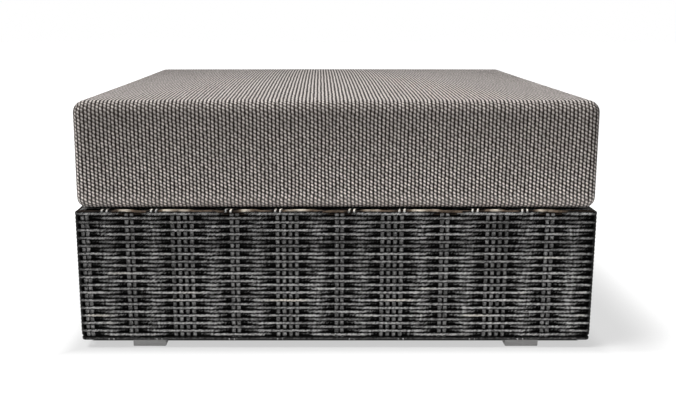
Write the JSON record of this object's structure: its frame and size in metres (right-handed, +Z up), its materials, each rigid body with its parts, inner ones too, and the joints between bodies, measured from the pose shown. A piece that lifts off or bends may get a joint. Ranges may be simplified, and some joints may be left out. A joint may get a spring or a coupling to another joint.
{
  "type": "outdoor ottoman footstool",
  "caption": "Square outdoor footstool: a box of woven resin strand on a tube frame and low rectangular feet, with a thick loose cushion that has a zip in its back.",
  "frame": {"origin": "centre of the footprint on the floor, under the four feet", "axes": "+Z up; the front faces -Y, the zip of the cushion is on +Y, and +X is to the right seen from the front"},
  "size_m": [0.8, 0.804, 0.3903],
  "materials": {
    "resin_strand": "satin",
    "frame_tube": "matte",
    "foot_plastic": "satin",
    "glide_pad": "matte",
    "screw_steel": "satin",
    "tweed_cover": "matte",
    "foam": "matte",
    "wadding": "matte",
    "zip_tape": "matte",
    "zip_coil": "satin",
    "zip_metal": "satin"
  },
  "bodies": {
    "base": {"rail_bottom_front": "frame_tube", "rail_bottom_back": "frame_tube", "rail_bottom_left": "frame_tube", "rail_bottom_right": "frame_tube", "rail_top_front": "frame_tube", "rail_top_back": "frame_tube", "rail_top_left": "frame_tube", "rail_top_right": "frame_tube", "post_front_left": "frame_tube", "post_front_right": "frame_tube", "post_back_left": "frame_tube", "post_back_right": "frame_tube", "upright_front": "frame_tube", "upright_back": "frame_tube", "upright_left": "frame_tube", "upright_right": "frame_tube", "crossbar_1": "frame_tube", "crossbar_2": "frame_tube", "crossbar_3": "frame_tube", "woven_front": "resin_strand", "woven_right": "resin_strand", "woven_back": "resin_strand", "woven_left": "resin_strand", "woven_deck": "resin_strand", "foot_front_left": "foot_plastic", "foot_front_right": "foot_plastic", "foot_back_left": "foot_plastic", "foot_back_right": "foot_plastic", "foot_pad_front_left": "glide_pad", "foot_pad_front_right": "glide_pad", "foot_pad_back_left": "glide_pad", "foot_pad_back_right": "glide_pad", "foot_screw_front_left_a": "screw_steel", "foot_screw_front_left_b": "screw_steel", "foot_screw_front_right_a": "screw_steel", "foot_screw_front_right_b": "screw_steel", "foot_screw_back_left_a": "screw_steel", "foot_screw_back_left_b": "screw_steel", "foot_screw_back_right_a": "screw_steel", "foot_screw_back_right_b": "screw_steel"},
    "cushion": {"cushion_cover": "tweed_cover", "wadding_bottom": "wadding", "foam_core": "foam", "wadding_top": "wadding", "zip_tape_upper": "zip_tape", "zip_tape_lower": "zip_tape", "zip_coil": "zip_coil", "zip_stop_left": "zip_metal", "zip_stop_right": "zip_metal"},
    "zip_slider": {"zip_slider": "zip_metal"},
    "zip_pull": {"zip_pull": "zip_metal"}
  },
  "joints": [
    {"name": "cushion_lift", "type": "slide", "parent": "base", "child": "cushion", "axis": [0, 0, 1], "range_m": [0, 0.25]},
    {"name": "zip_slide", "type": "slide", "parent": "cushion", "child": "zip_slider", "axis": [-1, 0, 0], "range_m": [0, 0.654]},
    {"name": "zip_pull_swing", "type": "hinge", "parent": "zip_slider", "child": "zip_pull", "pos_m": [0.3271, 0.40162, 0.3038], "axis": [0, 0, -1], "range_deg": [0, 180]}
  ]
}
